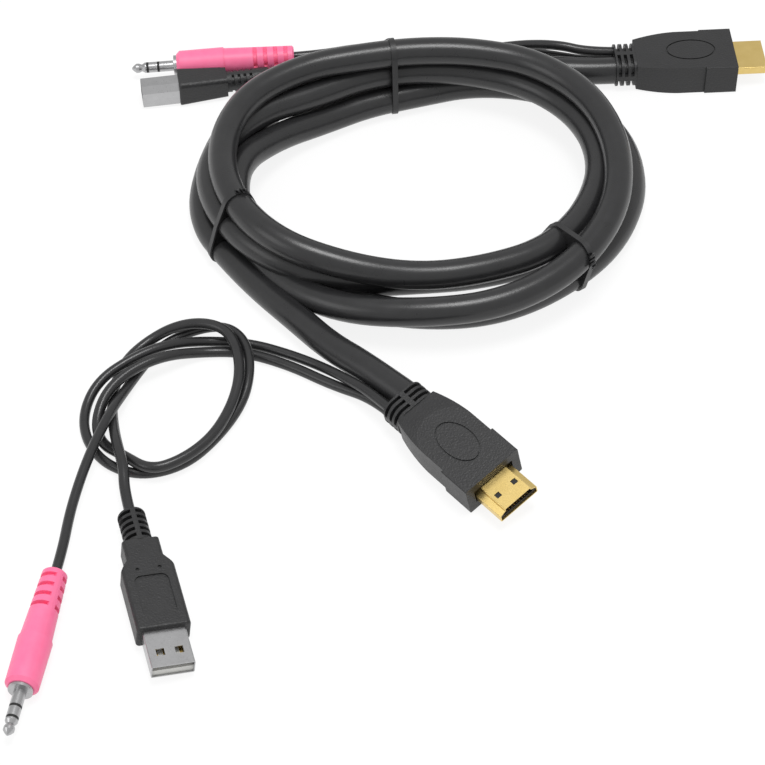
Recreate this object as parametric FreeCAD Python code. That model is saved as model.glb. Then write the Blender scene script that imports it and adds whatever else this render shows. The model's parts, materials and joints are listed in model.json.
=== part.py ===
import FreeCAD, Part
import math
import os

V = FreeCAD.Vector
os.makedirs("parts", exist_ok=True)

# Lengths are millimetres, angles degrees, +Z is up and the floor is z = 0.
# Every plug is drawn in its own frame: x points out of the mouth, y to its left, z up,
# and x = 0 is the front face of its moulding.

# Cords
main_diameter = 9.0
usb_diameter = 3.2
audio_diameter = 3.0
arc_share = 0.45

# How far a cutting body stands past what it cuts
over = 1.0

# HDMI plug moulding
hdmi_collar_width = 20.0
hdmi_height = 10.75
hdmi_collar_length = 10.5
hdmi_body_half = 9.3
hdmi_body_length = 33.0
hdmi_shoulder_start = 19.0
hdmi_shoulder_mid = (26.5, 8.5)
hdmi_neck_half = 7.0
hdmi_rear_bevel = 5.5
hdmi_rear_drop = 0.5
hdmi_edge = 0.35
hdmi_relief_width = 14.4
hdmi_relief_height = 10.2
hdmi_relief_round = 4.0
hdmi_relief_length = 6.7
hdmi_slot_depth = 1.5
hdmi_slot_count = 3
hdmi_slot_width = 1.1
hdmi_slot_pitch = 2.05
hdmi_rear_rib = 0.65
hdmi_web = 1.7
hdmi_web_count = 4
hdmi_panel_length = 16.4
hdmi_panel_width = 10.1
hdmi_panel_back = 14.5
hdmi_panel_groove = 0.5
hdmi_panel_depth = 0.35
hdmi_pocket_margin = 0.3
hdmi_pocket_depth = 1.0

# HDMI metal shell, carrier and contacts
hdmi_shell_width = 13.9
hdmi_shell_height = 4.45
hdmi_shell_narrow = 10.1
hdmi_shell_step = 0.35
hdmi_shell_ramp = 0.95
hdmi_shell_round = 0.35
hdmi_shell_reach = 10.3
hdmi_shell_root = 7.0
shell_wall = 0.3
hdmi_window = 1.7
hdmi_window_out = 4.6
hdmi_window_side = 3.1
hdmi_slot_in_width = 11.2
hdmi_slot_in_height = 1.9
hdmi_carrier_setback = 0.5
hdmi_carrier_slot_depth = 6.5
hdmi_contact_upper = 10
hdmi_contact_lower = 9
hdmi_contact_step = 1.0
hdmi_contact_width = 0.45
hdmi_contact_height = 0.25
hdmi_contact_length = 6.2

# Where the three cords leave the end of an HDMI moulding, as (left, up)
exit_main = (2.2, 0.3)
exit_usb = (-4.3, -2.2)
exit_audio = (-4.6, 1.5)

# USB-A plug
usb_a_width = 15.0
usb_a_height = 7.7
usb_a_body_length = 24.3
usb_a_shoulder_width = 10.5
usb_a_shoulder_length = 7.0
usb_a_flare = 3.2
usb_a_edge = 1.2
usb_a_front_edge = 0.6
usb_a_relief_radius = 4.0
usb_a_relief_length = 12.2
usb_a_relief_round = 1.0
usb_a_slot_count = 5
usb_a_slot_width = 1.15
usb_a_slot_pitch = 2.15
usb_a_rear_rib = 1.3
usb_a_core_radius = 2.6
usb_a_web = 1.4
usb_a_web_count = 2
usb_a_panel_length = 14.6
usb_a_panel_front = 3.6
usb_a_panel_width = 9.6
usb_a_panel_depth = 0.4
usb_a_panel_round = 2.2
usb_a_dimple_radius = 0.55
usb_a_dimple_side = 3.1
usb_a_dimple_back = 20.5
usb_a_shell_width = 12.0
usb_a_shell_height = 4.5
usb_a_shell_reach = 12.1
usb_a_shell_root = 8.0
usb_a_shell_round = 0.45
usb_a_window = 2.3
usb_a_window_side = 2.6
usb_a_window_out = 6.2
usb_a_tongue_height = 1.85
usb_a_tongue_setback = 0.6
usb_a_contact_sides = (-3.5, -1.0, 1.0, 3.5)
usb_a_contact_width = 1.0
usb_a_contact_height = 0.15
usb_a_contact_length = 7.0
usb_a_contact_setback = 1.5

# USB-B plug
usb_b_width = 9.8
usb_b_height = 9.2
usb_b_body_length = 16.0
usb_b_rear_width = 7.8
usb_b_rear_height = 7.8
usb_b_edge = 1.6
usb_b_front_edge = 0.5
usb_b_relief_radius = 3.5
usb_b_relief_length = 14.0
usb_b_slot_count = 4
usb_b_slot_width = 0.9
usb_b_slot_pitch = 2.0
usb_b_rear_rib = 5.5
usb_b_core_radius = 2.3
usb_b_web = 1.5
usb_b_web_count = 4
usb_b_shell_width = 8.0
usb_b_shell_height = 7.26
usb_b_shell_chamfer = 1.9
usb_b_shell_reach = 12.2
usb_b_shell_root = 7.0
usb_b_carrier_setback = 0.6
usb_b_slot_width_in = 5.8
usb_b_slot_height_in = 3.4
usb_b_slot_depth = 8.0
usb_b_contact_side = 1.25
usb_b_contact_width = 1.0
usb_b_contact_height = 0.25
usb_b_contact_length = 6.0

# Audio plug
audio_body_radius = 4.85
audio_front_radius = 4.7
audio_body_length = 15.7
audio_step = 0.35
audio_waist_radius = 4.15
audio_waist_length = 8.3
audio_relief_radius = 3.6
audio_relief_length = 15.0
audio_round = 1.0
audio_slot_count = 4
audio_slot_width = 1.35
audio_slot_pitch = 3.4
audio_rear_rib = 2.0
audio_core_radius = 2.5
audio_web = 2.0
audio_web_count = 2
pin_radius = 1.75
pin_shank_radius = 2.6
pin_shank_length = 9.0
pin_collar_radius = 3.4
pin_collar_length = 1.0
pin_sleeve_end = 5.8
pin_ring_length = 2.8
pin_insulator_length = 0.8
pin_end = 15.0
pin_land_length = 0.5
pin_neck_at = 1.5
pin_neck_radius = 1.15
pin_ball_from = 2.5
pin_ball_to = 3.4
pin_ball_radius = 1.55
pin_nose_at = 4.25
pin_nose_radius = 0.9
pin_end_radius = 0.35

# Where the plugs lie: front-face centre, heading, nose-down pitch and roll
hdmi_front_pose = ((18.0, -57.3, 7.45), -49.6, 0.0, 12.5)
hdmi_rear_pose = ((102.9, 127.9, 5.45), 3.7, 0.0, 180.0)
usb_a_pose = ((-72.7, -109.2, 4.85), -74.4, 0.0, -7.0)
usb_b_pose = ((-80.9, 115.6, 4.65), 189.5, 0.0, 0.0)
audio_front_pose = ((-109.5, -127.0, 4.9), -98.4, 0.0, -39.0)
audio_rear_pose = ((-81.9, 126.3, 4.95), 183.5, 2.6, 47.0)

# Coil: an oval of four arcs, five turns in section, lifted by the ties under it
coil_centre = V(-3.5, 69.0, 0)
coil_half_length = 62.5
coil_half_width = 52.5
coil_turn_radius = 4.7
coil_row_gap = 8.3
coil_half_spread = 4.5
coil_top_gap = 7.0
tie_thickness = 0.8
tie_width = 2.7
tie_twist_radius = 1.3
tie_twist_length = 7.0
front_stub_angle = 219.0
front_stub_length = 40.0
rear_stub_angle = 86.0
rear_stub_length = 39.0
tie_angles = {"tie_left": 196.0, "tie_top": 100.0, "tie_right": -32.0}

# Hand-chosen points of the cords between their two straight leads
lead = 9.0
front_tail_leads = (11.0, 18.0)
rear_tail_leads = (7.0, 7.0)
usb_front_points = [
    (-28.0, -14.4, 1.6), (-41.5, -7.0, 1.6), (-55.5, -2.2, 1.6), (-68.0, -2.4, 1.6),
    (-78.5, -8.0, 7.8), (-87.6, -13.8, 7.8), (-94.4, -21.4, 6.6), (-97.4, -30.4, 2.2),
    (-95.0, -38.6, 1.6), (-88.8, -44.4, 1.6), (-80.0, -46.2, 1.6), (-71.0, -42.0, 1.6),
    (-63.6, -33.2, 1.6), (-58.2, -23.8, 5.0), (-56.0, -14.0, 7.8), (-57.0, -4.5, 7.8),
    (-61.5, 3.2, 7.8), (-69.4, 7.6, 7.8), (-78.2, 8.0, 6.0), (-85.4, 3.4, 2.2),
    (-90.2, -4.8, 1.6), (-92.8, -13.8, 1.6), (-93.2, -23.0, 1.6), (-91.8, -33.0, 4.4),
    (-90.0, -42.0, 7.8), (-87.4, -50.8, 7.2)]
audio_front_points = [
    (-23.4, -14.8, 5.8), (-31.2, -7.2, 2.0), (-40.6, -2.4, 1.5), (-53.0, 1.6, 1.6), (-66.4, 3.2, 1.6),
    (-77.8, -2.6, 7.8), (-88.4, -8.7, 7.8), (-97.6, -15.8, 5.2), (-101.4, -26.0, 1.8),
    (-99.6, -37.0, 1.6), (-92.8, -46.2, 1.6), (-82.0, -50.2, 1.6), (-70.0, -46.4, 1.6),
    (-60.4, -36.4, 1.6), (-54.6, -25.0, 5.0), (-52.4, -13.5, 7.8), (-53.8, -2.8, 7.8),
    (-58.4, 6.0, 7.0), (-66.0, 11.0, 3.4), (-75.0, 8.0, 1.6), (-81.6, 0.4, 1.6),
    (-86.2, -9.0, 1.6), (-89.8, -19.6, 3.2), (-92.6, -29.5, 7.8), (-95.6, -39.0, 7.8),
    (-98.2, -49.0, 7.2), (-100.3, -58.8, 5.6), (-101.7, -68.0, 4.9)]
usb_rear_points = [
    (45.6, 130.6, 7.6), (34.5, 133.8, 5.6), (21.0, 135.8, 3.2), (5.0, 136.6, 1.7),
    (-11.0, 135.4, 1.7), (-25.0, 131.6, 1.7), (-34.2, 127.2, 2.6)]
audio_rear_points = [
    (45.6, 132.0, 3.2), (35.0, 136.8, 1.8), (21.5, 139.6, 1.6), (5.0, 140.6, 1.6),
    (-10.5, 139.6, 1.8), (-22.4, 135.4, 4.6)]


def cross_box(x0, x1, width, height):
    """A bar along x, centred on the x axis."""
    return Part.makeBox(x1 - x0, width, height, V(x0, -width / 2, -height / 2))


def along_x(shape):
    """The edges of a shape that run along x."""
    edges = []
    for edge in shape.Edges:
        ends = [vertex.Point for vertex in edge.Vertexes]
        if len(ends) == 2 and ends[0].sub(ends[1]).cross(V(1, 0, 0)).Length < 1e-6:
            edges.append(edge)
    return edges


def on_face(shape, x):
    """The edges of a shape that lie in the plane across x."""
    edges = []
    for edge in shape.Edges:
        box = edge.BoundBox
        if abs(box.XMin - x) < 1e-3 and abs(box.XMax - x) < 1e-3:
            edges.append(edge)
    return edges


def rounded_bar(x0, x1, width, height, radius):
    bar = cross_box(x0, x1, width, height)
    return bar.makeFillet(radius, along_x(bar))


def x_cylinder(x0, x1, radius):
    return Part.makeCylinder(radius, x1 - x0, V(x0, 0, 0), V(1, 0, 0))


def polygon_bar(points, x0, x1):
    """A bar along x whose section is a closed polygon of (y, z) points."""
    corners = [V(x0, y, z) for y, z in points]
    face = Part.Face(Part.makePolygon(corners + corners[:1]))
    return face.extrude(V(x1 - x0, 0, 0))


def ring_slots(x_last, count, pitch, width, reach, core, web, web_count):
    """Grooves round the core of a strain relief, split by webs along x: two, above and below, or four."""
    cuts = []
    for i in range(count):
        x0 = x_last + i * pitch
        ring = cross_box(x0, x0 + width, reach, reach).cut(core)
        ring = ring.cut(cross_box(x0, x0 + width, web, reach))
        if web_count == 4:
            ring = ring.cut(cross_box(x0, x0 + width, reach, web))
        cuts.append(ring)
    return cuts


def placed(shape, pose):
    place, heading, pitch, roll = pose
    moved = shape.copy()
    moved.Placement = FreeCAD.Placement(V(*place), FreeCAD.Rotation(heading, pitch, roll))
    return moved


def at_plug(pose, x, y, z):
    """A point of a plug's own frame, in the part's frame."""
    place, heading, pitch, roll = pose
    turn = FreeCAD.Rotation(heading, pitch, roll)
    return V(*place).add(turn.multVec(V(x, y, z)))


def save(name, shape):
    if shape.ShapeType != "Compound" and not shape.isValid():
        raise ValueError(name + " is not a valid solid")
    shape.exportStep("parts/" + name + ".step")
    print(name, len(shape.Solids), round(shape.Volume, 1))


# HDMI plug
hdmi_end = -(hdmi_body_length + hdmi_relief_length)
hdmi_slope_centre = -(hdmi_body_length - hdmi_rear_bevel - hdmi_body_half)
hdmi_wide = hdmi_shell_width / 2
hdmi_narrow = hdmi_shell_narrow / 2
hdmi_top = hdmi_shell_height / 2
hdmi_section = [
    (-hdmi_wide, -hdmi_top), (hdmi_wide, -hdmi_top), (hdmi_wide, hdmi_shell_step),
    (hdmi_narrow, hdmi_shell_step + hdmi_shell_ramp), (hdmi_narrow, hdmi_top),
    (-hdmi_narrow, hdmi_top), (-hdmi_narrow, hdmi_shell_step + hdmi_shell_ramp),
    (-hdmi_wide, hdmi_shell_step)]


def hdmi_body():
    """Bullet-shaped plan behind a slightly wider square collar, sloping to the neck."""
    low = -hdmi_height / 2
    neck = V(-hdmi_body_length, hdmi_neck_half, low)
    swell = V(-hdmi_shoulder_mid[0], hdmi_shoulder_mid[1], low)
    full = V(-hdmi_shoulder_start, hdmi_body_half, low)
    front = V(0, hdmi_body_half, low)
    mirror = [V(p.x, -p.y, p.z) for p in (neck, swell, full, front)]
    outline = Part.Wire([
        Part.Arc(neck, swell, full).toShape(),
        Part.LineSegment(full, front).toShape(),
        Part.LineSegment(front, mirror[3]).toShape(),
        Part.LineSegment(mirror[3], mirror[2]).toShape(),
        Part.Arc(mirror[2], mirror[1], mirror[0]).toShape(),
        Part.LineSegment(mirror[0], neck).toShape()])
    body = Part.Face(outline).extrude(V(0, 0, hdmi_height))
    rear = Part.makeBox(hdmi_body_length, 2 * hdmi_collar_width, 2 * hdmi_rear_drop,
                        V(hdmi_slope_centre - hdmi_body_length, -hdmi_collar_width, 0))
    slope = Part.makeCone(hdmi_body_half + 2 * hdmi_rear_bevel, hdmi_body_half, 2 * hdmi_rear_drop,
                          V(hdmi_slope_centre, 0, 0))
    cut = rear.cut(slope)
    for side in (1, -1):
        tool = cut.copy()
        tool.translate(V(0, 0, hdmi_height / 2 - 2 * hdmi_rear_drop))
        body = body.cut(tool if side > 0 else tool.mirror(V(0, 0, 0), V(0, 0, 1)))
    collar = rounded_bar(-hdmi_collar_length, 0, hdmi_collar_width, hdmi_height, hdmi_edge)
    return body.fuse(collar).removeSplitter()


def hdmi_overmould():
    relief = rounded_bar(hdmi_end, -hdmi_body_length, hdmi_relief_width, hdmi_relief_height,
                         hdmi_relief_round)
    moulding = hdmi_body().fuse(relief)
    core = rounded_bar(hdmi_end, -hdmi_body_length, hdmi_relief_width - 2 * hdmi_slot_depth,
                       hdmi_relief_height - 2 * hdmi_slot_depth, hdmi_relief_round - hdmi_slot_depth)
    for slot in ring_slots(hdmi_end + hdmi_rear_rib, hdmi_slot_count, hdmi_slot_pitch, hdmi_slot_width,
                           hdmi_relief_width + over, core, hdmi_web, hdmi_web_count):
        moulding = moulding.cut(slot)
    panel_z = hdmi_height / 2 - hdmi_panel_depth
    half = hdmi_panel_length / 2
    for side in (1, -1):
        base = V(-hdmi_panel_back, 0, panel_z if side > 0 else -hdmi_height / 2)
        outer = Part.Ellipse(base, half, hdmi_panel_width / 2)
        inner = Part.Ellipse(base, half - hdmi_panel_groove, hdmi_panel_width / 2 - hdmi_panel_groove)
        ring = Part.Face(Part.Wire(outer.toShape())).cut(Part.Face(Part.Wire(inner.toShape())))
        moulding = moulding.cut(ring.extrude(V(0, 0, hdmi_panel_depth)))
    margin = 2 * hdmi_pocket_margin
    pocket = cross_box(-hdmi_pocket_depth, over, hdmi_shell_width + margin, hdmi_shell_height + margin)
    root = polygon_bar(hdmi_section, -hdmi_shell_root, 0)
    root = root.makeFillet(hdmi_shell_round, along_x(root))
    return moulding.cut(pocket).cut(root)


def hdmi_inner(points, gap):
    """The section of the shell moved inward by a gap."""
    wire = Part.makePolygon([V(0, y, z) for y, z in points + points[:1]])
    return wire.makeOffset2D(-gap)


def hdmi_shell():
    outer = polygon_bar(hdmi_section, -hdmi_shell_root, hdmi_shell_reach)
    outer = outer.makeFillet(hdmi_shell_round, along_x(outer))
    hollow = Part.Face(hdmi_inner(hdmi_section, shell_wall)).extrude(
        V(hdmi_shell_root + hdmi_shell_reach, 0, 0))
    hollow.translate(V(-hdmi_shell_root, 0, 0))
    shell = outer.cut(hollow)
    for side in (1, -1):
        window = Part.makeBox(hdmi_window, hdmi_window, hdmi_top,
                              V(hdmi_window_out, side * hdmi_window_side - hdmi_window / 2, hdmi_top / 2))
        shell = shell.cut(window)
    return shell


def hdmi_carrier():
    """Insulator lining the shell, with the slot that takes the socket's tongue."""
    front = hdmi_shell_reach - hdmi_carrier_setback
    block = Part.Face(hdmi_inner(hdmi_section, shell_wall)).extrude(V(front + hdmi_shell_root, 0, 0))
    block.translate(V(-hdmi_shell_root, 0, 0))
    slot = cross_box(front - hdmi_carrier_slot_depth, front + over, hdmi_slot_in_width,
                     hdmi_slot_in_height)
    return block.cut(slot)


def hdmi_contacts():
    """Springs lying on the two long walls of the slot, ten above and nine below."""
    start = hdmi_shell_reach - hdmi_carrier_setback - hdmi_carrier_slot_depth
    rows = ((hdmi_contact_upper, hdmi_slot_in_height / 2 - hdmi_contact_height),
            (hdmi_contact_lower, -hdmi_slot_in_height / 2))
    springs = []
    for count, z in rows:
        for i in range(count):
            y = (i - (count - 1) / 2) * hdmi_contact_step - hdmi_contact_width / 2
            springs.append(Part.makeBox(hdmi_contact_length, hdmi_contact_width,
                                        hdmi_contact_height, V(start, y, z)))
    return Part.makeCompound(springs)


# USB-A plug
usb_a_end = -(usb_a_body_length + usb_a_shoulder_length + usb_a_relief_length)


def usb_a_overmould():
    shoulder_end = -(usb_a_body_length + usb_a_shoulder_length)
    half = usb_a_width / 2
    slim = usb_a_shoulder_width / 2
    low = -usb_a_height / 2
    plan = [V(0, half, low), V(-usb_a_body_length + usb_a_flare, half, low),
            V(-usb_a_body_length, slim, low), V(shoulder_end, slim, low)]
    plan = plan + [V(p.x, -p.y, low) for p in reversed(plan)]
    body = Part.Face(Part.makePolygon(plan + plan[:1])).extrude(V(0, 0, usb_a_height))
    body = body.makeFillet(usb_a_edge, along_x(body))
    body = body.makeFillet(usb_a_front_edge, on_face(body, 0))
    relief = x_cylinder(usb_a_end, shoulder_end, usb_a_relief_radius)
    relief = relief.makeFillet(usb_a_relief_round, on_face(relief, usb_a_end))
    moulding = body.fuse(relief)
    core = x_cylinder(usb_a_end, shoulder_end, usb_a_core_radius)
    for slot in ring_slots(usb_a_end + usb_a_rear_rib, usb_a_slot_count, usb_a_slot_pitch, usb_a_slot_width,
                           2 * usb_a_relief_radius + over, core, usb_a_web, usb_a_web_count):
        moulding = moulding.cut(slot)
    panel_back = -(usb_a_panel_front + usb_a_panel_length)
    panel = Part.makeBox(usb_a_panel_length, usb_a_panel_width, usb_a_height,
                         V(panel_back, -usb_a_panel_width / 2, usb_a_height / 2 - usb_a_panel_depth))
    upright = [e for e in panel.Edges if abs(e.Vertexes[0].Z - e.Vertexes[1].Z) > 1]
    moulding = moulding.cut(panel.makeFillet(usb_a_panel_round, upright))
    for side in (1, -1):
        foot = V(-usb_a_dimple_back, side * usb_a_dimple_side,
                 usb_a_height / 2 - usb_a_panel_depth)
        moulding = moulding.cut(Part.makeCylinder(usb_a_dimple_radius, usb_a_height, foot))
    root = rounded_bar(-usb_a_shell_root, over, usb_a_shell_width, usb_a_shell_height,
                       usb_a_shell_round)
    return moulding.cut(root)


def usb_a_shell():
    outer = rounded_bar(-usb_a_shell_root, usb_a_shell_reach, usb_a_shell_width,
                        usb_a_shell_height, usb_a_shell_round)
    hollow = cross_box(-usb_a_shell_root, usb_a_shell_reach, usb_a_shell_width - 2 * shell_wall,
                       usb_a_shell_height - 2 * shell_wall)
    shell = outer.cut(hollow)
    for side in (1, -1):
        window = Part.makeBox(usb_a_window, usb_a_window, 2 * usb_a_shell_height,
                              V(usb_a_window_out, side * usb_a_window_side - usb_a_window / 2,
                                -usb_a_shell_height))
        shell = shell.cut(window)
    return shell


usb_a_floor = -usb_a_shell_height / 2 + shell_wall


def usb_a_tongue():
    """Insulator on the lower half of the shell, solid at the root."""
    width = usb_a_shell_width - 2 * shell_wall
    front = usb_a_shell_reach - usb_a_tongue_setback
    bar = Part.makeBox(front + usb_a_shell_root, width, usb_a_tongue_height,
                       V(-usb_a_shell_root, -width / 2, usb_a_floor))
    block = cross_box(-usb_a_shell_root, 0, width, usb_a_shell_height - 2 * shell_wall)
    return bar.fuse(block).removeSplitter()


def usb_a_contacts():
    front = usb_a_shell_reach - usb_a_tongue_setback - usb_a_contact_setback
    strips = []
    for y in usb_a_contact_sides:
        strips.append(Part.makeBox(usb_a_contact_length, usb_a_contact_width, usb_a_contact_height,
                                   V(front - usb_a_contact_length, y - usb_a_contact_width / 2,
                                     usb_a_floor + usb_a_tongue_height)))
    return Part.makeCompound(strips)


# USB-B plug
usb_b_end = -(usb_b_body_length + usb_b_relief_length)
usb_b_half = usb_b_shell_width / 2
usb_b_top = usb_b_shell_height / 2
usb_b_section = [
    (-usb_b_half, -usb_b_top), (usb_b_half, -usb_b_top), (usb_b_half, usb_b_top - usb_b_shell_chamfer),
    (usb_b_half - usb_b_shell_chamfer, usb_b_top), (-usb_b_half + usb_b_shell_chamfer, usb_b_top),
    (-usb_b_half, usb_b_top - usb_b_shell_chamfer)]


def usb_b_overmould():
    """Square moulding that narrows toward a round ribbed relief."""
    sections = []
    for x, width, height in ((-usb_b_body_length, usb_b_rear_width, usb_b_rear_height),
                             (0, usb_b_width, usb_b_height)):
        corners = [V(x, -width / 2, -height / 2), V(x, width / 2, -height / 2),
                   V(x, width / 2, height / 2), V(x, -width / 2, height / 2)]
        sections.append(Part.makePolygon(corners + corners[:1]))
    body = Part.makeLoft(sections, True, True)
    long_edges = [e for e in body.Edges if abs(e.Vertexes[0].X - e.Vertexes[1].X) > 1]
    body = body.makeFillet(usb_b_edge, long_edges)
    body = body.makeFillet(usb_b_front_edge, on_face(body, 0))
    moulding = body.fuse(x_cylinder(usb_b_end, -usb_b_body_length, usb_b_relief_radius))
    core = x_cylinder(usb_b_end, -usb_b_body_length, usb_b_core_radius)
    for slot in ring_slots(usb_b_end + usb_b_rear_rib, usb_b_slot_count, usb_b_slot_pitch, usb_b_slot_width,
                           2 * usb_b_relief_radius + over, core, usb_b_web, usb_b_web_count):
        moulding = moulding.cut(slot)
    return moulding.cut(polygon_bar(usb_b_section, -usb_b_shell_root, over))


def usb_b_hollow(front):
    wire = Part.makePolygon([V(0, y, z) for y, z in usb_b_section + usb_b_section[:1]])
    bar = Part.Face(wire.makeOffset2D(-shell_wall)).extrude(V(front + usb_b_shell_root, 0, 0))
    bar.translate(V(-usb_b_shell_root, 0, 0))
    return bar


def usb_b_shell():
    outer = polygon_bar(usb_b_section, -usb_b_shell_root, usb_b_shell_reach)
    return outer.cut(usb_b_hollow(usb_b_shell_reach))


def usb_b_carrier():
    front = usb_b_shell_reach - usb_b_carrier_setback
    slot = cross_box(front - usb_b_slot_depth, front + over, usb_b_slot_width_in, usb_b_slot_height_in)
    return usb_b_hollow(front).cut(slot)


def usb_b_contacts():
    start = usb_b_shell_reach - usb_b_carrier_setback - usb_b_slot_depth
    springs = []
    for z in (usb_b_slot_height_in / 2 - usb_b_contact_height, -usb_b_slot_height_in / 2):
        for side in (1, -1):
            y = side * usb_b_contact_side - usb_b_contact_width / 2
            springs.append(Part.makeBox(usb_b_contact_length, usb_b_contact_width,
                                        usb_b_contact_height, V(start, y, z)))
    return Part.makeCompound(springs)


# Audio plug
audio_end = -(audio_body_length + audio_waist_length + audio_relief_length)


def turned(profile):
    """A solid turned about x from (x, radius) points that start and end on the axis."""
    points = [V(x, 0, r) for x, r in profile]
    face = Part.Face(Part.makePolygon(points + points[:1]))
    return face.revolve(V(0, 0, 0), V(1, 0, 0), 360)


def audio_overmould():
    waist_end = -(audio_body_length + audio_waist_length)
    moulding = turned([
        (audio_end, 0), (audio_end, audio_relief_radius - audio_round / 2),
        (audio_end + audio_round / 2, audio_relief_radius), (waist_end, audio_waist_radius),
        (-audio_body_length, audio_body_radius - audio_step),
        (-audio_body_length, audio_body_radius), (-audio_round, audio_front_radius),
        (0, audio_front_radius - audio_round), (0, 0)])
    core = x_cylinder(audio_end, waist_end, audio_core_radius)
    for slot in ring_slots(audio_end + audio_rear_rib, audio_slot_count, audio_slot_pitch, audio_slot_width,
                           2 * audio_waist_radius + over, core, audio_web, audio_web_count):
        moulding = moulding.cut(slot)
    return moulding.cut(x_cylinder(-pin_shank_length, over, pin_shank_radius))


pin_first_gap = pin_sleeve_end + pin_insulator_length
pin_ring_end = pin_first_gap + pin_ring_length
pin_tip_start = pin_ring_end + pin_insulator_length


def audio_sleeve():
    return turned([
        (-pin_shank_length, 0), (-pin_shank_length, pin_shank_radius), (0, pin_shank_radius),
        (0, pin_collar_radius), (pin_collar_length, pin_collar_radius), (pin_collar_length, pin_radius),
        (pin_sleeve_end, pin_radius), (pin_sleeve_end, 0)])


def audio_insulators():
    return Part.makeCompound([x_cylinder(pin_sleeve_end, pin_first_gap, pin_radius),
                              x_cylinder(pin_ring_end, pin_tip_start, pin_radius)])


def audio_ring():
    return x_cylinder(pin_first_gap, pin_ring_end, pin_radius)


def audio_tip():
    """A short land, a waist that the socket's spring drops into, and a rounded cone."""
    return turned([
        (pin_tip_start, 0), (pin_tip_start, pin_radius), (pin_tip_start + pin_land_length, pin_radius),
        (pin_tip_start + pin_neck_at, pin_neck_radius), (pin_tip_start + pin_ball_from, pin_ball_radius),
        (pin_tip_start + pin_ball_to, pin_ball_radius), (pin_tip_start + pin_nose_at, pin_nose_radius),
        (pin_end, pin_end_radius), (pin_end, 0)])


# Coil
coil_offset = (coil_half_length - coil_half_width) / (2 - math.sqrt(2))
coil_small = coil_half_length - coil_offset
coil_large = coil_small + coil_offset * math.sqrt(2)
coil_low = tie_thickness + coil_turn_radius
coil_nodes = [(-coil_half_spread, coil_low), (coil_half_spread, coil_low),
              (coil_half_spread, coil_low + coil_row_gap),
              (0, coil_low + coil_row_gap + coil_top_gap),
              (-coil_half_spread, coil_low + coil_row_gap)]
coil_arcs = [(0, V(coil_offset, 0, 0), coil_small), (90, V(0, -coil_offset, 0), coil_large),
             (180, V(-coil_offset, 0, 0), coil_small), (270, V(0, coil_offset, 0), coil_large)]


def coil_arc(angle):
    """The arc of the oval that a direction from the coil's centre falls in."""
    return coil_arcs[int(((angle + 45) % 360) // 90)]


def coil_polygon(radius):
    """Polygon through the centres of the five turns, at a distance from an upright axis."""
    corners = [V(radius + y, 0, z) for y, z in coil_nodes]
    return Part.makePolygon(corners + corners[:1])


def coil_section(radius):
    """Outline of five touching turns: one arc for each turn, from notch to notch."""
    centres = [V(radius + y, 0, z) for y, z in coil_nodes]
    outward = []
    notches = []
    for here, there in zip(centres, centres[1:] + centres[:1]):
        along = there.sub(here)
        normal = V(along.z, 0, -along.x).normalize()
        depth = math.sqrt(coil_turn_radius ** 2 - (along.Length / 2) ** 2)
        outward.append(normal)
        notches.append(here.add(along * 0.5).add(normal * depth))
    arcs = []
    for i, centre in enumerate(centres):
        crest = outward[i - 1].add(outward[i]).normalize()
        arcs.append(Part.Arc(notches[i - 1], centre.add(crest * coil_turn_radius), notches[i]).toShape())
    return Part.Face(Part.Wire(arcs))


def swept_about(face, centre, start, sweep):
    """A section in the xz plane, turned about an upright axis through a centre."""
    turned_face = face.copy()
    turned_face.rotate(V(0, 0, 0), V(0, 0, 1), start)
    solid = turned_face.revolve(V(0, 0, 0), V(0, 0, 1), sweep)
    solid.translate(coil_centre.add(centre))
    return solid


def outer_turn(angle):
    """A point on the outer low turn and the direction of the turn there."""
    centre, radius = coil_arc(angle)[1:]
    turn = math.radians(angle)
    outward = V(math.cos(turn), math.sin(turn), 0)
    point = coil_centre.add(centre).add(outward * (radius + coil_half_spread))
    point.z = coil_low
    return point, V(-outward.y, outward.x, 0)


# Where each end of the cable leaves the coil: angle, length and sense along the turns
front_stub = (front_stub_angle, front_stub_length, 1)
rear_stub = (rear_stub_angle, rear_stub_length, -1)


def stub_end(stub):
    angle, length, sense = stub
    point, forward = outer_turn(angle)
    return point.add(forward * (sense * length)), forward * sense


def coil():
    quarters = []
    for start, centre, radius in coil_arcs:
        quarters.append(swept_about(coil_section(radius), centre, start - 45, 90))
    ring = quarters[0].fuse(quarters[1:]).removeSplitter()
    for angle, length, sense in (front_stub, rear_stub):
        point, forward = outer_turn(angle)
        ring = ring.fuse(Part.makeCylinder(main_diameter / 2, length, point, forward * sense))
    return ring


def tie(angle):
    """A strap drawn tight round the turns, its two ends twisted together on top."""
    centre, radius = coil_arc(angle)[1:]
    inner = coil_polygon(radius).makeOffset2D(coil_turn_radius)
    outer = coil_polygon(radius).makeOffset2D(coil_turn_radius + tie_thickness)
    band = Part.Face(outer).cut(Part.Face(inner))
    sweep = math.degrees(tie_width / radius)
    strap = swept_about(band, centre, angle - sweep / 2, sweep)
    peak = coil_nodes[3][1] + coil_turn_radius + tie_twist_radius
    turn = math.radians(angle)
    outward = V(math.cos(turn), math.sin(turn), 0)
    root = coil_centre.add(centre).add(outward * radius)
    root.z = peak
    twist = Part.makeCylinder(tie_twist_radius, tie_twist_length, root, V(-outward.y, outward.x, 0))
    return strap.fuse(twist)


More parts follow.
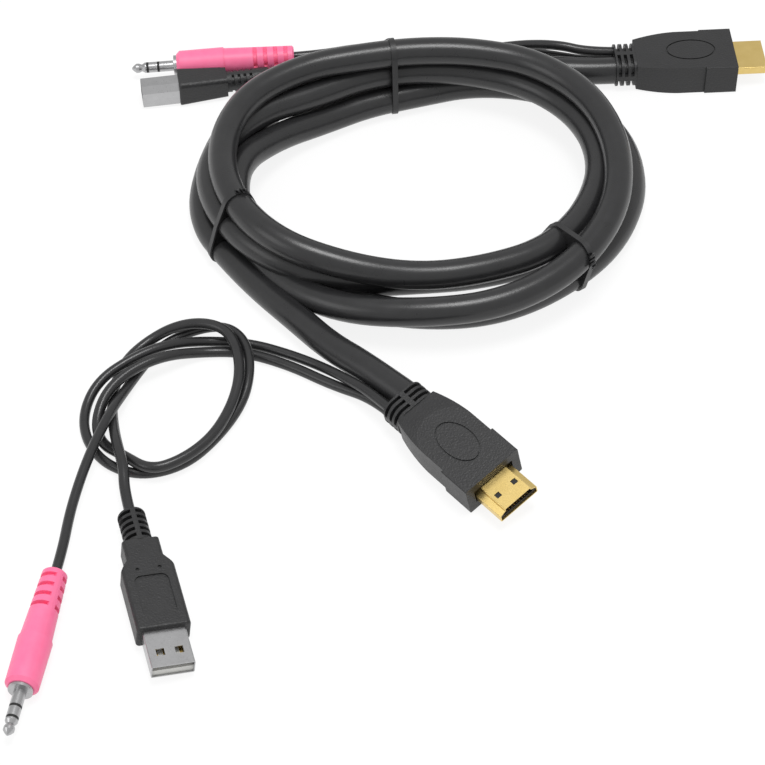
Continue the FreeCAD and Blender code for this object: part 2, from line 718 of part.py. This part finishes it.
# Cord tubes
def route_wire(points):
    """Straight runs joined by tangent arcs, and the smallest radius among the arcs."""
    edges = []
    least = None
    start = points[0]
    for before, corner, after in zip(points, points[1:], points[2:]):
        back = before.sub(corner)
        ahead = after.sub(corner)
        shorter = min(back.Length, ahead.Length)
        half_turn = (math.pi - back.getAngle(ahead)) / 2
        trim = arc_share * shorter
        radius = trim / math.tan(half_turn)
        least = radius if least is None else min(least, radius)
        back.normalize()
        ahead.normalize()
        arc_in = corner.add(back * trim)
        arc_out = corner.add(ahead * trim)
        inward = back.add(ahead)
        inward.normalize()
        middle = corner.add(inward * (radius / math.cos(half_turn) - radius))
        edges.append(Part.LineSegment(start, arc_in).toShape())
        edges.append(Part.Arc(arc_in, middle, arc_out).toShape())
        start = arc_out
    edges.append(Part.LineSegment(start, points[-1]).toShape())
    return Part.Wire(edges), least


def tube(name, points, diameter):
    path, least = route_wire(points)
    ring = Part.makeCircle(diameter / 2, points[0], points[1].sub(points[0]))
    solid = path.makePipeShell([Part.Wire(ring)], True, False)
    expected = math.pi * diameter ** 2 / 4 * path.Length
    print(name, "length", round(path.Length, 1), "least radius in diameters", round(least / diameter, 1),
          "volume ratio", round(solid.Volume / expected, 4))
    save(name, solid)


def plug_lead(pose, x_end, exit_point, length=lead):
    """The end of a cord on a plug and the point where its straight lead stops."""
    y, z = exit_point
    return [at_plug(pose, x_end, y, z), at_plug(pose, x_end - length, y, z)]


def hand_route(points):
    return [V(*point) for point in points]


axis = (0.0, 0.0)
usb_front = (plug_lead(hdmi_front_pose, hdmi_end, exit_usb) + hand_route(usb_front_points)
             + plug_lead(usb_a_pose, usb_a_end, axis)[::-1])
audio_front = (plug_lead(hdmi_front_pose, hdmi_end, exit_audio) + hand_route(audio_front_points)
               + plug_lead(audio_front_pose, audio_end, axis)[::-1])
usb_rear = (plug_lead(hdmi_rear_pose, hdmi_end, exit_usb) + hand_route(usb_rear_points)
            + plug_lead(usb_b_pose, usb_b_end, axis)[::-1])
audio_rear = (plug_lead(hdmi_rear_pose, hdmi_end, exit_audio) + hand_route(audio_rear_points)
              + plug_lead(audio_rear_pose, audio_end, axis)[::-1])


def tail(stub, pose, leads):
    """From the end of a coil stub to an HDMI plug, with a straight lead at each end."""
    start, direction = stub_end(stub)
    finish, finish_lead = plug_lead(pose, hdmi_end, exit_main, leads[1])
    return [start, start.add(direction * leads[0]), finish_lead, finish]


for end_name, pose in (("front", hdmi_front_pose), ("rear", hdmi_rear_pose)):
    save("hdmi_" + end_name + "_overmould", placed(hdmi_overmould(), pose))
    save("hdmi_" + end_name + "_shell", placed(hdmi_shell(), pose))
    save("hdmi_" + end_name + "_contact_carrier", placed(hdmi_carrier(), pose))
    save("hdmi_" + end_name + "_contacts", placed(hdmi_contacts(), pose))
save("usb_a_overmould", placed(usb_a_overmould(), usb_a_pose))
save("usb_a_shell", placed(usb_a_shell(), usb_a_pose))
save("usb_a_tongue", placed(usb_a_tongue(), usb_a_pose))
save("usb_a_contacts", placed(usb_a_contacts(), usb_a_pose))
save("usb_b_overmould", placed(usb_b_overmould(), usb_b_pose))
save("usb_b_shell", placed(usb_b_shell(), usb_b_pose))
save("usb_b_contact_carrier", placed(usb_b_carrier(), usb_b_pose))
save("usb_b_contacts", placed(usb_b_contacts(), usb_b_pose))
for end_name, pose in (("front", audio_front_pose), ("rear", audio_rear_pose)):
    save("audio_" + end_name + "_overmould", placed(audio_overmould(), pose))
    save("audio_" + end_name + "_sleeve", placed(audio_sleeve(), pose))
    save("audio_" + end_name + "_ring", placed(audio_ring(), pose))
    save("audio_" + end_name + "_tip", placed(audio_tip(), pose))
    save("audio_" + end_name + "_insulators", placed(audio_insulators(), pose))
save("main_cable_coil", coil())
for tie_name, angle in tie_angles.items():
    save(tie_name, tie(angle))
tube("main_cable_front_tail", tail(front_stub, hdmi_front_pose, front_tail_leads), main_diameter)
tube("main_cable_rear_tail", tail(rear_stub, hdmi_rear_pose, rear_tail_leads), main_diameter)
tube("usb_front_cord", usb_front, usb_diameter)
tube("audio_front_cord", audio_front, audio_diameter)
tube("usb_rear_cord", usb_rear, usb_diameter)
tube("audio_rear_cord", audio_rear, audio_diameter)
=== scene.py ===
import json
import math

import bmesh
import bpy
from mathutils import Matrix, Vector


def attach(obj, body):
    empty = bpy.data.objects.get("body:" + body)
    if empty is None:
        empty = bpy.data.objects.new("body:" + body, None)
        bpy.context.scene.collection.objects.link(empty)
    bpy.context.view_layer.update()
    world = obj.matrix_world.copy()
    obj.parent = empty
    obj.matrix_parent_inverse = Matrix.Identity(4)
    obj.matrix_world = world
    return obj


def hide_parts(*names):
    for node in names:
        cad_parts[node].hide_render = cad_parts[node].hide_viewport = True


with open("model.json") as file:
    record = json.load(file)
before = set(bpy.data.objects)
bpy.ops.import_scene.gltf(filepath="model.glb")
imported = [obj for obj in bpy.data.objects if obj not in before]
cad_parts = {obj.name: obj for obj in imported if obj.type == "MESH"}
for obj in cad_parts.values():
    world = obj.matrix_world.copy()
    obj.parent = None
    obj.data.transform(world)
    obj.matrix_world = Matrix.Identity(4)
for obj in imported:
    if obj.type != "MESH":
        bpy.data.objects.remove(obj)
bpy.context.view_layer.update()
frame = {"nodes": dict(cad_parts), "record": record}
nodes = frame["nodes"]

MM = 0.001
MAIN_DIAMETER = 9.0
USB_DIAMETER = 3.2
AUDIO_DIAMETER = 3.0


# Camera: in front of the coil and above it, looking along +Y and down
camera = bpy.data.objects.new("camera", bpy.data.cameras.new("camera"))
bpy.context.collection.objects.link(camera)
camera.location = (-0.0123, -0.5221, 0.5557)
camera.rotation_euler = (math.radians(42.52), math.radians(0.135), 0)
camera.data.lens = 119.4
camera.data.sensor_width = 36
bpy.context.scene.camera = camera


# Colours and nodes
def linear(hex_colour):
    """An sRGB hex colour as linear RGBA."""
    parts = [int(hex_colour[i:i + 2], 16) / 255 for i in (1, 3, 5)]
    return [p / 12.92 if p <= 0.04045 else ((p + 0.055) / 1.055) ** 2.4 for p in parts] + [1.0]


def add(tree, kind, values=None, **settings):
    """Adds a node with its settings; values are its inputs, as numbers or as sockets to link."""
    node = tree.nodes.new(kind)
    for name, value in settings.items():
        setattr(node, name, value)
    for name, value in (values or {}).items():
        if isinstance(value, bpy.types.NodeSocket):
            tree.links.new(value, node.inputs[name])
        else:
            node.inputs[name].default_value = value
    return node


def new_material(name):
    """An empty material with its output, and the Object coordinates its patterns read."""
    material = bpy.data.materials.new(name)
    material.use_nodes = True
    tree = material.node_tree
    tree.nodes.clear()
    output = add(tree, "ShaderNodeOutputMaterial")
    place = add(tree, "ShaderNodeTexCoord").outputs["Object"]
    return material, tree, output, place


def per_metre(size_mm):
    """Noise scale whose features are about this many millimetres across."""
    return 1 / (size_mm * MM)


MOTTLE_MM = 4.0
CLOUD_MM = 3.0


def moulded_plastic(name, shade, light, rough, rough_spread, grain_mm, grain_depth_mm):
    """Matt moulded plastic: a mottle of two near shades over a fine spark-eroded grain."""
    material, tree, output, place = new_material(name)
    mottle = add(tree, "ShaderNodeTexNoise", {"Vector": place, "Scale": per_metre(MOTTLE_MM),
                                              "Detail": 4.0})
    colour = add(tree, "ShaderNodeMix", {0: mottle.outputs["Fac"], 6: linear(shade), 7: linear(light)},
                 data_type="RGBA")
    gloss = add(tree, "ShaderNodeMapRange", {"Value": mottle.outputs["Fac"], "To Min": rough,
                                             "To Max": rough + rough_spread})
    grain = add(tree, "ShaderNodeTexNoise", {"Vector": place, "Scale": per_metre(grain_mm), "Detail": 2.0})
    bump = add(tree, "ShaderNodeBump", {"Height": grain.outputs["Fac"], "Distance": grain_depth_mm * MM,
                                        "Strength": 1.0})
    surface = add(tree, "ShaderNodeBsdfPrincipled", {
        "Base Color": colour.outputs[2], "Roughness": gloss.outputs["Result"],
        "Normal": bump.outputs["Normal"], "IOR": 1.5})
    tree.links.new(surface.outputs["BSDF"], output.inputs["Surface"])
    return material


def plated_metal(name, shade, light, rough, rough_spread, grain_mm):
    """Plating on stamped sheet: two near tints in soft clouds, and a drawn gloss that varies."""
    material, tree, output, place = new_material(name)
    cloud = add(tree, "ShaderNodeTexNoise", {"Vector": place, "Scale": per_metre(CLOUD_MM), "Detail": 3.0})
    colour = add(tree, "ShaderNodeMix", {0: cloud.outputs["Fac"], 6: linear(shade), 7: linear(light)},
                 data_type="RGBA")
    scuff = add(tree, "ShaderNodeTexNoise", {"Vector": place, "Scale": per_metre(grain_mm), "Detail": 5.0})
    gloss = add(tree, "ShaderNodeMapRange", {"Value": scuff.outputs["Fac"], "To Min": rough,
                                             "To Max": rough + rough_spread})
    surface = add(tree, "ShaderNodeBsdfPrincipled", {
        "Base Color": colour.outputs[2], "Roughness": gloss.outputs["Result"], "Metallic": 1.0})
    tree.links.new(surface.outputs["BSDF"], output.inputs["Surface"])
    return material


# Extruded PVC: satin black, so a long soft highlight runs along each turn
pvc_jacket = moulded_plastic("extruded_pvc_jacket", "#232324", "#2c2c2d", rough=0.24, rough_spread=0.1,
                             grain_mm=0.55, grain_depth_mm=0.02)
# Moulded PVC: greyer and duller than the jacket, with the mould's grain drawn coarse enough to show
pvc_moulding = moulded_plastic("moulded_pvc_black", "#1f1f20", "#29292a", rough=0.36, rough_spread=0.16,
                               grain_mm=0.6, grain_depth_mm=0.13)
# Moulded PVC with pigment: warm pink, a little glossier than the black
pvc_pink = moulded_plastic("moulded_pvc_pink", "#ff6c9a", "#ff82ac", rough=0.36, rough_spread=0.12,
                           grain_mm=0.4, grain_depth_mm=0.015)
# Insulators: black filled nylon, dull
nylon_black = moulded_plastic("glass_filled_nylon_black", "#121212", "#1c1c1c", rough=0.5,
                              rough_spread=0.15, grain_mm=0.3, grain_depth_mm=0.02)
# Tongue of the flat plug: natural nylon, off-white and dull
nylon_white = moulded_plastic("nylon_natural_white", "#cfcfcc", "#deded9", rough=0.45, rough_spread=0.15,
                              grain_mm=0.3, grain_depth_mm=0.01)
# Tie covering: thin black PVC over a wire, slightly shiny
pvc_tie = moulded_plastic("pvc_coated_wire_tie", "#1d1d1e", "#2b2b2c", rough=0.34, rough_spread=0.12,
                          grain_mm=0.6, grain_depth_mm=0.02)
# Gold flash over nickel: pale warm yellow with broad soft reflections
gold_plate = plated_metal("gold_flash_plating", "#dfc278", "#ecd18b", rough=0.24, rough_spread=0.14,
                          grain_mm=0.5)
# Nickel plate: neutral grey, a little brushed
nickel_plate = plated_metal("nickel_plating", "#acacad", "#bebebf", rough=0.22, rough_spread=0.16,
                            grain_mm=0.5)
# Contact springs: brighter gold than the shells, brushed by use
gold_contact = plated_metal("hard_gold_contacts", "#d9b55e", "#ecd08a", rough=0.4, rough_spread=0.12,
                            grain_mm=0.3)

finishes = {
    "cable_jacket": pvc_jacket, "moulding_black": pvc_moulding, "moulding_pink": pvc_pink,
    "plating_gold": gold_plate, "plating_nickel": nickel_plate, "contact_gold": gold_contact,
    "insulator_black": nylon_black, "insulator_white": nylon_white, "tie_plastic": pvc_tie}
for subpart in frame["record"]["subparts"]:
    mesh = nodes[subpart["node"]].data
    mesh.materials.clear()
    mesh.materials.append(finishes[subpart["material_slot"]])


# Thick cable: its turns, wound anticlockwise from above as (distance from the centre, height)
COIL_CENTRE = (-2.9, 68.4)
COIL_LIFT = 0.7
STEPS = 16
FIRST_ANGLE = 90.0
coil_turns = [
    [(57.6, 4.5), (59.0, 4.5), (59.2, 4.5), (58.0, 4.5), (58.6, 4.5), (55.5, 4.5),
     (52.5, 4.5), (56.4, 4.5), (57.5, 4.5), (60.4, 4.5), (62.2, 4.5), (65.8, 4.5),
     (68.6, 4.5), (68.2, 4.5), (62.5, 4.5), (51.8, 4.5)],
    [(42.0, 4.5), (40.2, 4.5), (41.4, 4.5), (47.8, 7.5), (56.3, 12.6), (59.0, 11.0),
     (60.4, 5.6), (63.2, 8.8), (63.9, 12.2), (66.4, 13.6), (66.5, 15.4), (65.2, 18.0),
     (62.2, 19.8), (59.2, 21.0), (53.8, 21.6), (46.8, 21.8)],
    [(43.2, 22.0), (43.6, 22.0), (50.2, 21.8), (58.0, 21.0), (60.7, 20.4), (61.2, 21.0),
     (60.0, 21.0), (53.6, 17.2), (50.0, 13.4), (50.8, 13.3), (55.0, 13.3), (56.4, 13.3),
     (57.8, 13.3), (56.5, 13.1), (52.3, 13.0), (47.0, 13.0)],
    [(44.5, 13.0), (43.9, 13.1), (45.0, 13.3), (56.0, 14.2), (65.3, 12.6), (64.6, 13.8),
     (60.4, 12.9), (51.4, 8.4), (42.3, 4.5), (44.0, 4.5), (49.5, 4.5), (54.5, 4.5),
     (58.7, 4.6), (61.4, 8.2), (61.2, 12.8), (57.0, 12.8)],
    [(53.8, 12.5), (52.6, 12.6), (55.0, 12.6), (63.0, 8.5), (66.3, 4.6)]]


def turn_point(angle, distance, height, reach=1.0):
    """A point of the coil at an angle in degrees."""
    turn = math.radians(angle)
    return (COIL_CENTRE[0] + distance * reach * math.cos(turn),
            COIL_CENTRE[1] + distance * reach * math.sin(turn), height + COIL_LIFT)


# Control points stand a little outside the turn that the spline draws
SPLINE_REACH = 1 / math.cos(math.pi / STEPS)
main_points = [
    (63.42, 123.14, 5.15), (56.44, 122.69, 5.15), (46.5, 122.9, 5.3), (32.0, 124.4, 5.2),
    (15.0, 126.2, 5.2)]
for lap, turn in enumerate(coil_turns):
    for step, (distance, height) in enumerate(turn):
        angle = FIRST_ANGLE + 360 * (lap + step / STEPS)
        main_points.append(turn_point(angle, distance, height, SPLINE_REACH))
main_points += [
    (-69.4, 50.2, 4.6), (-61.2, 36.8, 4.6), (-50.8, 22.6, 4.6), (-38.8, 8.9, 4.8),
    (-29.2, -3.0, 5.6), (-18.8, -12.8, 7.4), (-6.14, -25.72, 8.22)]

usb_front_points = [
    (-10.56, -29.48, 4.37), (-16.4, -22.63, 4.2), (-28.3, -15.1, 1.6), (-41.5, -6.8, 1.6),
    (-55.5, -1.4, 1.6), (-68.0, -1.5, 1.6), (-78.5, -7.4, 6.4), (-88.0, -13.2, 6.4),
    (-94.8, -20.9, 5.2), (-97.4, -30.4, 2.2), (-95.0, -38.2, 1.7), (-88.8, -43.4, 3.2),
    (-80.0, -51.0, 4.9), (-71.0, -47.0, 4.9), (-62.6, -38.3, 4.9), (-57.45, -26.0, 5.0),
    (-55.5, -14.9, 6.4), (-56.8, -4.6, 6.8), (-60.4, 2.6, 7.4), (-67.9, 5.8, 7.0),
    (-76.4, 5.6, 5.2), (-84.5, 2.1, 2.2), (-90.2, -4.8, 1.6), (-92.8, -13.8, 1.6),
    (-93.2, -23.0, 1.6), (-91.8, -33.0, 4.0), (-90.0, -42.0, 6.4), (-87.4, -50.8, 6.4),
    (-86.82, -58.63, 4.85), (-84.4, -67.3, 4.85)]
audio_front_points = [
    (-11.4, -30.19, 7.92), (-17.23, -23.33, 7.7), (-24.6, -15.7, 5.5), (-32.0, -8.0, 2.3),
    (-41.0, -2.6, 1.5), (-53.0, 2.1, 1.5), (-66.4, 3.1, 1.6), (-77.8, -2.6, 6.4),
    (-88.4, -8.7, 6.4), (-97.6, -15.8, 4.4), (-101.4, -26.0, 1.8), (-99.6, -37.0, 1.5),
    (-92.8, -46.4, 1.5), (-82.0, -50.2, 1.5), (-70.1, -45.9, 1.5), (-61.2, -35.1, 1.5),
    (-54.7, -23.2, 2.4), (-52.7, -13.5, 4.8), (-53.6, -3.4, 5.6), (-57.8, 3.9, 5.4),
    (-64.2, 8.1, 3.0), (-73.2, 6.3, 1.6), (-80.8, 0.2, 1.6), (-85.8, -8.9, 1.6),
    (-89.7, -19.6, 3.6), (-92.6, -29.5, 6.4), (-95.6, -39.0, 6.4), (-98.2, -49.0, 6.2),
    (-100.3, -58.8, 5.4), (-101.7, -68.0, 4.9), (-102.49, -79.51, 4.9), (-103.8, -88.42, 4.9)]
usb_rear_points = [
    (63.01, 129.63, 7.65), (54.02, 129.15, 8.2), (45.2, 131.3, 9.2), (34.0, 134.6, 6.8),
    (21.0, 136.2, 3.4), (5.0, 136.6, 1.7), (-11.0, 135.4, 1.7), (-25.0, 131.6, 1.7),
    (-34.2, 127.2, 2.6), (-42.43, 122.04, 4.65), (-51.31, 120.55, 4.65)]
audio_rear_points = [
    (62.99, 129.93, 3.95), (54.0, 129.35, 4.2), (45.6, 131.6, 4.2), (35.0, 136.8, 1.8),
    (21.5, 139.6, 1.6), (5.0, 140.6, 1.6), (-10.5, 139.6, 1.8), (-22.4, 135.4, 4.6),
    (-34.04, 129.23, 7.13), (-43.01, 128.68, 6.72)]


CORD_ROUND_STEPS = 6
CORD_ALONG_STEPS = 8


def lay_cord(name, points, diameter, replaced):
    """A round cord along a smooth open spline, in place of its CAD solids."""
    curve = bpy.data.curves.new(name, "CURVE")
    curve.dimensions = "3D"
    curve.bevel_depth = diameter / 2 * MM
    curve.bevel_resolution = CORD_ROUND_STEPS
    curve.resolution_u = CORD_ALONG_STEPS
    curve.use_fill_caps = True
    spline = curve.splines.new("NURBS")
    spline.points.add(len(points) - 1)
    for point, (x, y, z) in zip(spline.points, points):
        point.co = (x * MM, y * MM, z * MM, 1)
    spline.order_u = 3
    spline.use_endpoint_u = True
    spline.use_smooth = True
    curve.materials.append(pvc_jacket)
    piece = bpy.data.objects.new(name, curve)
    bpy.context.collection.objects.link(piece)
    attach(piece, "root")
    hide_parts(*replaced)
    return piece


main_cable = lay_cord("main_cable", main_points, MAIN_DIAMETER,
                      ["main_cable_coil", "main_cable_front_tail", "main_cable_rear_tail"])
usb_front = lay_cord("usb_cord_front", usb_front_points, USB_DIAMETER, ["usb_front_cord"])
audio_front = lay_cord("audio_cord_front", audio_front_points, AUDIO_DIAMETER, ["audio_front_cord"])
usb_rear = lay_cord("usb_cord_rear", usb_rear_points, USB_DIAMETER, ["usb_rear_cord"])
audio_rear = lay_cord("audio_cord_rear", audio_rear_points, AUDIO_DIAMETER, ["audio_rear_cord"])


# Ties: a thin strap round the turns, and its two ends twisted together
TIE_WIDTH = 1.8
TIE_THICKNESS = 0.5
TWIST_WIRE = 0.5
TWIST_PITCH = 2.4
TWIST_STEPS = 14
TWIST_SIDES = 8
STRAP_SEGMENTS = 40
END_FACING = 0.7
SHARP_ANGLE = 40
UP = Vector((0, 0, 1))


def strands_at(angle):
    """Where the turns cross an upright plane through the coil's centre, as (distance, height)."""
    crossings = []
    for lap, turn in enumerate(coil_turns):
        step = ((angle - FIRST_ANGLE) % 360) / 360 * STEPS
        low = int(step)
        ahead = turn[low + 1:low + 2] or coil_turns[min(lap + 1, len(coil_turns) - 1)][:1]
        if low < len(turn):
            share = step - low
            crossings.append(tuple(a + (b - a) * share for a, b in zip(turn[low], ahead[0])))
    return crossings


def finish_piece(name, shape, material, replaced):
    """Turns a bmesh into a piece of the object, smooth where its faces meet gently."""
    bmesh.ops.recalc_face_normals(shape, faces=shape.faces)
    for face in shape.faces:
        face.smooth = True
    mesh = bpy.data.meshes.new(name)
    shape.to_mesh(mesh)
    shape.free()
    mesh.set_sharp_from_angle(angle=math.radians(SHARP_ANGLE))
    mesh.materials.append(material)
    piece = bpy.data.objects.new(name, mesh)
    bpy.context.collection.objects.link(piece)
    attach(piece, "root")
    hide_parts(*replaced)
    return piece


def facing(outward, along, centre):
    """A frame with its x outward, its y up and its z back along a turn."""
    place = Matrix((outward, UP, -along)).transposed().to_4x4()
    place.translation = centre
    return place


def hull_band(shape, centres, outward, along, radius):
    """The side faces of a tight wrap round the strands, each strand a disc of a radius in millimetres."""
    rims = []
    for centre in centres:
        for end in (-0.5, 0.5):
            place = facing(outward, along, (centre + along * (end * TIE_WIDTH)) * MM)
            rims += bmesh.ops.create_circle(shape, segments=STRAP_SEGMENTS, radius=radius * MM,
                                            matrix=place)["verts"]
    hull = bmesh.ops.convex_hull(shape, input=rims)
    inside = [item for item in hull["geom_interior"] if isinstance(item, bmesh.types.BMVert)]
    faces = [item for item in hull["geom"] if isinstance(item, bmesh.types.BMFace)]
    ends = [face for face in faces if abs(face.normal.dot(along)) > END_FACING]
    bmesh.ops.delete(shape, geom=ends, context="FACES")
    bmesh.ops.delete(shape, geom=inside, context="VERTS")


def twist(shape, root, direction, length):
    """The two ends of a tie, wound round each other from a root along a direction."""
    side = direction.cross(UP).normalized()
    turns = length / TWIST_PITCH
    steps = int(turns * TWIST_STEPS)
    for start in (1, -1):
        place = facing(side, direction.cross(side), (root + side * (start * TWIST_WIRE)) * MM)
        wire = bmesh.ops.create_circle(shape, cap_ends=True, segments=TWIST_SIDES,
                                       radius=TWIST_WIRE * MM, matrix=place)
        ring = list(wire["verts"])
        ring += dict.fromkeys(e for v in wire["verts"] for e in v.link_edges)
        ring += dict.fromkeys(f for v in wire["verts"] for f in v.link_faces)
        bmesh.ops.spin(shape, geom=ring, cent=root * MM, axis=direction,
                       dvec=direction * (length / steps * MM),
                       angle=2 * math.pi * turns, steps=steps, use_duplicate=False)


def tie(label, angle, skew, beside, strand, around, lean, length):
    """A strap at an angle of the coil, set askew in degrees per millimetre outward, which also holds the
    strands beside the turns; its twist leaves one strand's surface, leaning outward, along and up."""
    strands = strands_at(angle) + list(beside)
    inner, outer = min(strands)[0], max(strands)[0]
    middle = (inner + outer) / 2
    centres = [Vector(turn_point(angle + skew * (d - middle), d, h)) for d, h in strands]
    outward = Vector(turn_point(angle + skew * (outer - middle), outer, 0))
    outward = (outward - Vector(turn_point(angle + skew * (inner - middle), inner, 0))).normalized()
    along = Vector((-outward.y, outward.x, 0))
    snug = MAIN_DIAMETER / 2 / math.cos(math.radians(skew) * middle)
    shape = bmesh.new()
    hull_band(shape, centres, outward, along, snug)
    hull_band(shape, centres, outward, along, snug + TIE_THICKNESS)
    plane = centres[0] * MM
    for end in (1, -1):
        rim = [e for e in shape.edges if len(e.link_faces) == 1
               and all((v.co - plane).dot(along) * end > 0 for v in e.verts)]
        bmesh.ops.bridge_loops(shape, edges=rim)
    slope = math.radians(around)
    lift = snug + TIE_THICKNESS + TWIST_WIRE
    root = centres[strand] + (outward * math.cos(slope) + UP * math.sin(slope)) * lift
    direction = (outward * lean[0] + along * lean[1] + UP * lean[2]).normalized()
    twist(shape, root, direction, length)
    return finish_piece("tie_strap_" + label, shape, pvc_tie, ["tie_" + label])


tie_pieces = [
    tie("left", angle=206.0, skew=0.0, beside=[(66.6, 4.45)], strand=2, around=84,
        lean=(-1.0, 0.1, -0.2), length=3.6),
    tie("top", angle=100.0, skew=0.0, beside=[], strand=0, around=20,
        lean=(0.1, -1.0, -0.2), length=5.0),
    tie("right", angle=-39.0, skew=-0.3, beside=[], strand=1, around=40,
        lean=(0.5, -0.15, -1.0), length=4.6)]


# Floor: white to the eye and to polished metal, and it keeps a soft contact shadow
FLOOR_GLOW = 0.86
FLOOR_HALF = 3.0


def white_floor():
    """Paper that is near white to the eye and in reflections, and lights the object as plain paper."""
    material, tree, output, _ = new_material("white_paper_sweep")
    path = add(tree, "ShaderNodeLightPath")
    seen = add(tree, "ShaderNodeMath", {0: path.outputs["Is Camera Ray"], 1: path.outputs["Is Glossy Ray"]},
               operation="MAXIMUM")
    seen = add(tree, "ShaderNodeMath", {0: seen.outputs[0], 1: path.outputs["Is Transmission Ray"]},
               operation="MAXIMUM")
    paper = add(tree, "ShaderNodeBsdfDiffuse", {"Color": linear("#e6e6e6")})
    pale = add(tree, "ShaderNodeBsdfDiffuse", {"Color": linear("#707070")})
    glow = add(tree, "ShaderNodeEmission", {"Color": (1, 1, 1, 1), "Strength": FLOOR_GLOW})
    shown = add(tree, "ShaderNodeAddShader", {0: pale.outputs[0], 1: glow.outputs[0]})
    surface = add(tree, "ShaderNodeMixShader", {0: seen.outputs[0], 1: paper.outputs[0],
                                                2: shown.outputs[0]})
    tree.links.new(surface.outputs[0], output.inputs["Surface"])
    return material


sheet = bmesh.new()
bmesh.ops.create_grid(sheet, x_segments=1, y_segments=1, size=FLOOR_HALF)
floor_mesh = bpy.data.meshes.new("floor")
sheet.to_mesh(floor_mesh)
sheet.free()
floor_mesh.materials.append(white_floor())
floor = bpy.data.objects.new("floor", floor_mesh)
bpy.context.collection.objects.link(floor)


# Light: an even pale room, a small softbox overhead and a weaker one from the left
ROOM_STRENGTH = 0.68
BACKDROP_STRENGTH = 1.0
world = bpy.data.worlds.new("studio")
bpy.context.scene.world = world
world.use_nodes = True
tree = world.node_tree
tree.nodes.clear()
room_path = add(tree, "ShaderNodeLightPath")
room = add(tree, "ShaderNodeBackground", {"Color": (1, 1, 1, 1), "Strength": ROOM_STRENGTH})
backdrop = add(tree, "ShaderNodeBackground", {"Color": (1, 1, 1, 1), "Strength": BACKDROP_STRENGTH})
choice = add(tree, "ShaderNodeMixShader", {0: room_path.outputs["Is Camera Ray"], 1: room.outputs[0],
                                           2: backdrop.outputs[0]})
add(tree, "ShaderNodeOutputWorld", {"Surface": choice.outputs[0]})


def softbox(name, place, aim, width, depth, watts):
    """A rectangular lamp, sizes in metres, turned to face a point."""
    lamp = bpy.data.lights.new(name, "AREA")
    lamp.shape = "RECTANGLE"
    lamp.size = width
    lamp.size_y = depth
    lamp.energy = watts
    box = bpy.data.objects.new(name, lamp)
    bpy.context.collection.objects.link(box)
    box.location = place
    box.rotation_euler = (Vector(aim) - Vector(place)).to_track_quat("-Z", "Y").to_euler()


softbox("softbox_overhead", (0.04, 0.0, 1.1), (0, 0.02, 0), width=0.42, depth=0.34, watts=5.5)
softbox("softbox_left", (-0.8, -0.4, 0.5), (0, 0, 0), width=0.5, depth=0.5, watts=1.2)
bpy.context.scene.view_settings.view_transform = "Standard"
